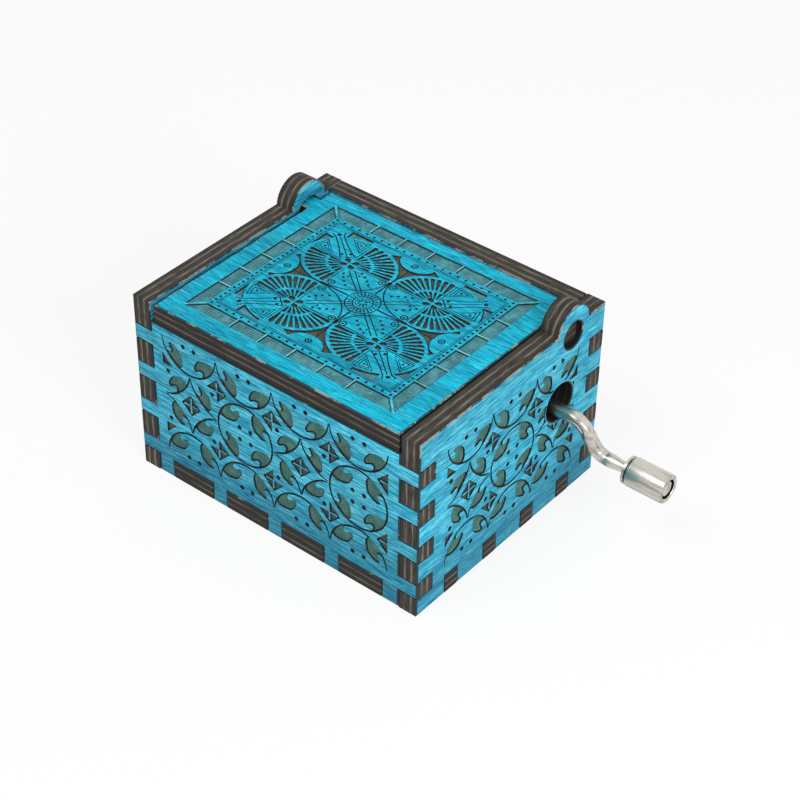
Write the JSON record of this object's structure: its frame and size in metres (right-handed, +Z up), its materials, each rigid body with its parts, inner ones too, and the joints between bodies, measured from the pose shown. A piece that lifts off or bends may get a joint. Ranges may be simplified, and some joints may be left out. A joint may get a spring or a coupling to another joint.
{
  "type": "hand-crank music box",
  "caption": "Small finger-jointed plywood box with a hinged lid, a bent metal crank on its right side and a comb and pinned drum movement inside.",
  "frame": {"origin": "centre of the case's underside, on the surface that it stands on", "axes": "+X towards the crank side, -Y the front, +Z up"},
  "size_m": [0.0872, 0.0512, 0.0418],
  "materials": {
    "painted_ply": "turquoise stain on plywood, with burnt brown laser-cut edges and engraving",
    "lid_ply": "turquoise stain on plywood, with burnt brown laser-cut edges and engraving",
    "nickel_plate": "polished nickel plate",
    "gilt_zinc": "satin gilt lacquer on die-cast zinc",
    "brass": "satin, lightly tarnished",
    "bronze": "satin sintered bronze",
    "comb_steel": "ground spring steel",
    "bright_steel": "zinc-plated steel",
    "lead": "dull lead"
  },
  "bodies": {
    "case": {"bottom_panel": "painted_ply", "front_panel": "painted_ply", "back_panel": "painted_ply", "left_panel": "painted_ply", "right_panel": "painted_ply", "bedplate": "gilt_zinc", "comb_shoe": "gilt_zinc", "comb": "comb_steel", "comb_weights": "lead", "comb_screws": "bright_steel", "bracket_screws": "bright_steel", "base_screws": "bright_steel", "front_bracket": "bright_steel", "worm_bracket": "bright_steel", "left_crank_bush": "bronze", "right_crank_bush": "bronze"},
    "lid": {"lid_panel": "lid_ply"},
    "crank": {"crank_rod": "nickel_plate", "worm": "brass", "shaft_clip": "bright_steel", "knob_washer": "nickel_plate"},
    "knob": {"crank_knob": "nickel_plate"},
    "drum": {"drum": "brass", "drum_front_cap": "brass", "drum_rear_cap": "brass", "drum_arbor": "bright_steel", "worm_wheel": "brass"}
  },
  "joints": [
    {"name": "lid_hinge", "type": "hinge", "parent": "case", "child": "lid", "pos_m": [0, 0.0162, 0.03575], "axis": [-1, 0, 0], "range_deg": [0, 135]},
    {"name": "crank_spin", "type": "hinge", "parent": "case", "child": "crank", "pos_m": [0.03, 0.0124, 0.0221], "axis": [1, 0, 0], "continuous": true},
    {"name": "drum_spin", "type": "hinge", "parent": "case", "child": "drum", "pos_m": [0.012, 0, 0.0136], "axis": [0, 1, 0], "continuous": true},
    {"name": "knob_spin", "type": "hinge", "parent": "crank", "child": "knob", "pos_m": [0.05, 0.01383, 0.01535], "axis": [1, 0, 0], "continuous": true}
  ],
  "couplings": [
    {"joint": "drum_spin", "follows": "crank_spin", "ratio": -0.05}
  ]
}
